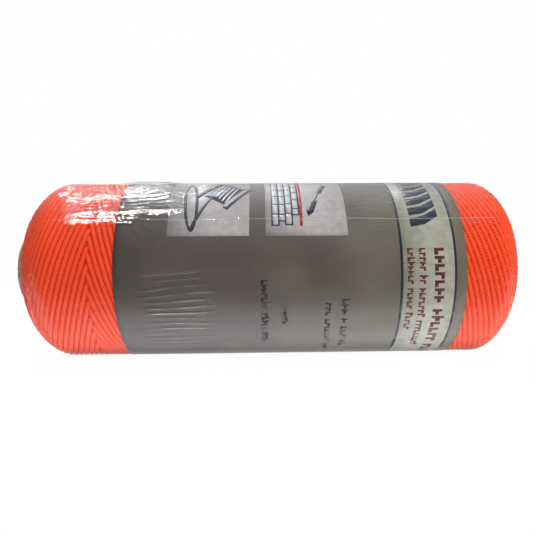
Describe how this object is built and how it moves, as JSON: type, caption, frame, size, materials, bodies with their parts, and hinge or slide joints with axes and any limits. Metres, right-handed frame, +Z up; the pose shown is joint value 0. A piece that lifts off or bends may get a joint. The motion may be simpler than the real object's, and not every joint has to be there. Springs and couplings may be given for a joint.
{
  "type": "tube of twisted mason line",
  "caption": "Shrink-wrapped tube of twisted nylon mason line: paper core with an open bore, cross-wound fluorescent orange line with domed ends, paper label and clear film sleeve.",
  "frame": {"origin": "on the floor under the middle of the package, which lies on its side", "axes": "+X along the paper tube towards the end with the label's printed band, +Z up, -Y towards the side that faces the viewer"},
  "size_m": [0.17, 0.062, 0.062],
  "materials": {
    "core_paper": "matte",
    "line_nylon": "satin",
    "label_paper": "satin",
    "label_glue": "matte",
    "film_clear": "gloss"
  },
  "bodies": {
    "root": {"core_liner_ply": "core_paper", "core_body_plies": "core_paper", "core_outer_ply": "core_paper", "line_inner_winding": "line_nylon", "line_outer_layer": "line_nylon", "line_free_end": "line_nylon", "label_sheet": "label_paper", "label_glue_line": "label_glue", "film_sleeve": "film_clear", "film_seam": "film_clear"}
  },
  "joints": []
}
